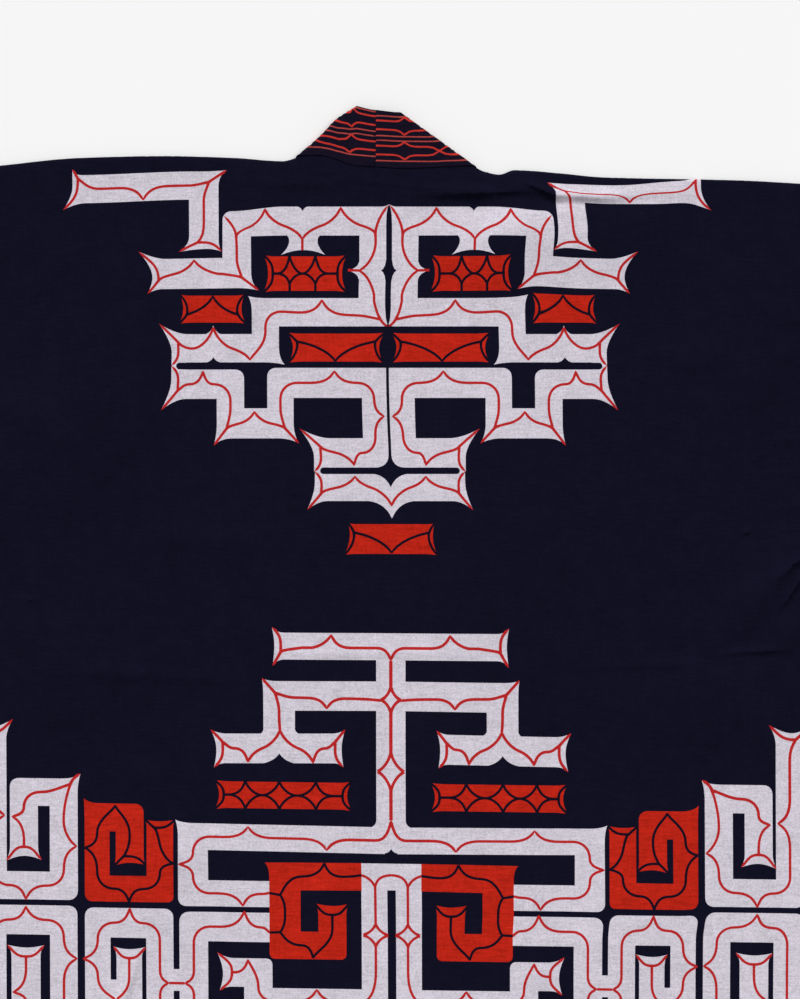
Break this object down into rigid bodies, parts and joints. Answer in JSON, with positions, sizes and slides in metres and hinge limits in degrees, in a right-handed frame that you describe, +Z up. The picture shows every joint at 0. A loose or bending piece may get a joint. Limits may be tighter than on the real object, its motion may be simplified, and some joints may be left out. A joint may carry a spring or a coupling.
{
  "type": "ainu jacket",
  "caption": "Navy cotton kimono-cut jacket laid flat, back up, with a standing collar band and white and red cutwork-style spiral and thorn bands printed across the back.",
  "frame": {"origin": "on the floor, under the middle of the jacket's outline", "axes": "+X to the right sleeve as it lies back up, +Y from the hem to the collar, +Z up from the floor"},
  "size_m": [1.29, 0.9464, 0.0086],
  "materials": {
    "navy_cotton": "dull plain-weave cotton dyed dark navy",
    "collar_cotton": "dull plain-weave cotton dyed dark navy, with thin red curved lines",
    "white_print": "cool off-white printed cotton",
    "red_print": "red printed cotton",
    "thread": "matt navy sewing thread"
  },
  "bodies": {
    "root": {"back": "navy_cotton", "front_left": "navy_cotton", "front_right": "navy_cotton", "sleeve_left": "navy_cotton", "sleeve_right": "navy_cotton", "collar_left": "collar_cotton", "collar_right": "collar_cotton"}
  },
  "joints": []
}
